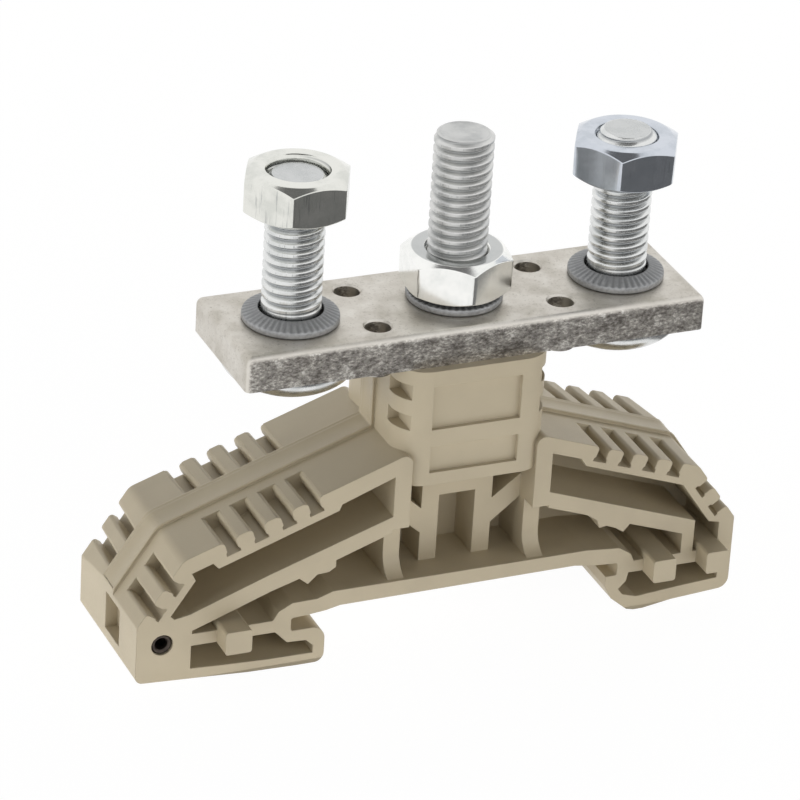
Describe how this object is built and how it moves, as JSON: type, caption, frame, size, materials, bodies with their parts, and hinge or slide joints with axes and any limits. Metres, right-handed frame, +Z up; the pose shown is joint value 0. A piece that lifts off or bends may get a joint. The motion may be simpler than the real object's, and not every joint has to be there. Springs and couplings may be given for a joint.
{
  "type": "stud terminal block",
  "caption": "Beige rail-mounted stud terminal block with a flat tinned bar, threaded studs, hexagon nuts and ribbed washers.",
  "frame": {"origin": "centre of the bounding box in plan, at the lowest level of the two rail feet", "axes": "+X along the bar from the pinned foot to the other foot, +Y towards the back along the mounting rail, +Z up along the studs"},
  "size_m": [0.064, 0.0184, 0.0518],
  "materials": {
    "moulding": "satin beige moulding",
    "tinned": "dull tin plating",
    "zinc": "bright zinc plating",
    "grey_steel": "dull grey plating"
  },
  "bodies": {
    "block": {"housing": "moulding", "current_bar": "tinned", "left_stud": "zinc", "right_stud": "zinc", "centre_stud": "grey_steel", "left_washer": "grey_steel", "right_washer": "grey_steel", "centre_washer": "grey_steel", "foot_pin": "grey_steel"},
    "left_nut_body": {"left_nut": "zinc"},
    "right_nut_body": {"right_nut": "zinc"},
    "centre_nut_body": {"centre_nut": "zinc"}
  },
  "joints": [
    {"name": "left_nut_travel", "type": "slide", "parent": "block", "child": "left_nut_body", "axis": [0, 0, 1], "range_m": [-0.0102, 0.0029]},
    {"name": "right_nut_travel", "type": "slide", "parent": "block", "child": "right_nut_body", "axis": [0, 0, 1], "range_m": [-0.0095, 0.0039]},
    {"name": "centre_nut_travel", "type": "slide", "parent": "block", "child": "centre_nut_body", "axis": [0, 0, 1], "range_m": [0, 0.0156]}
  ]
}
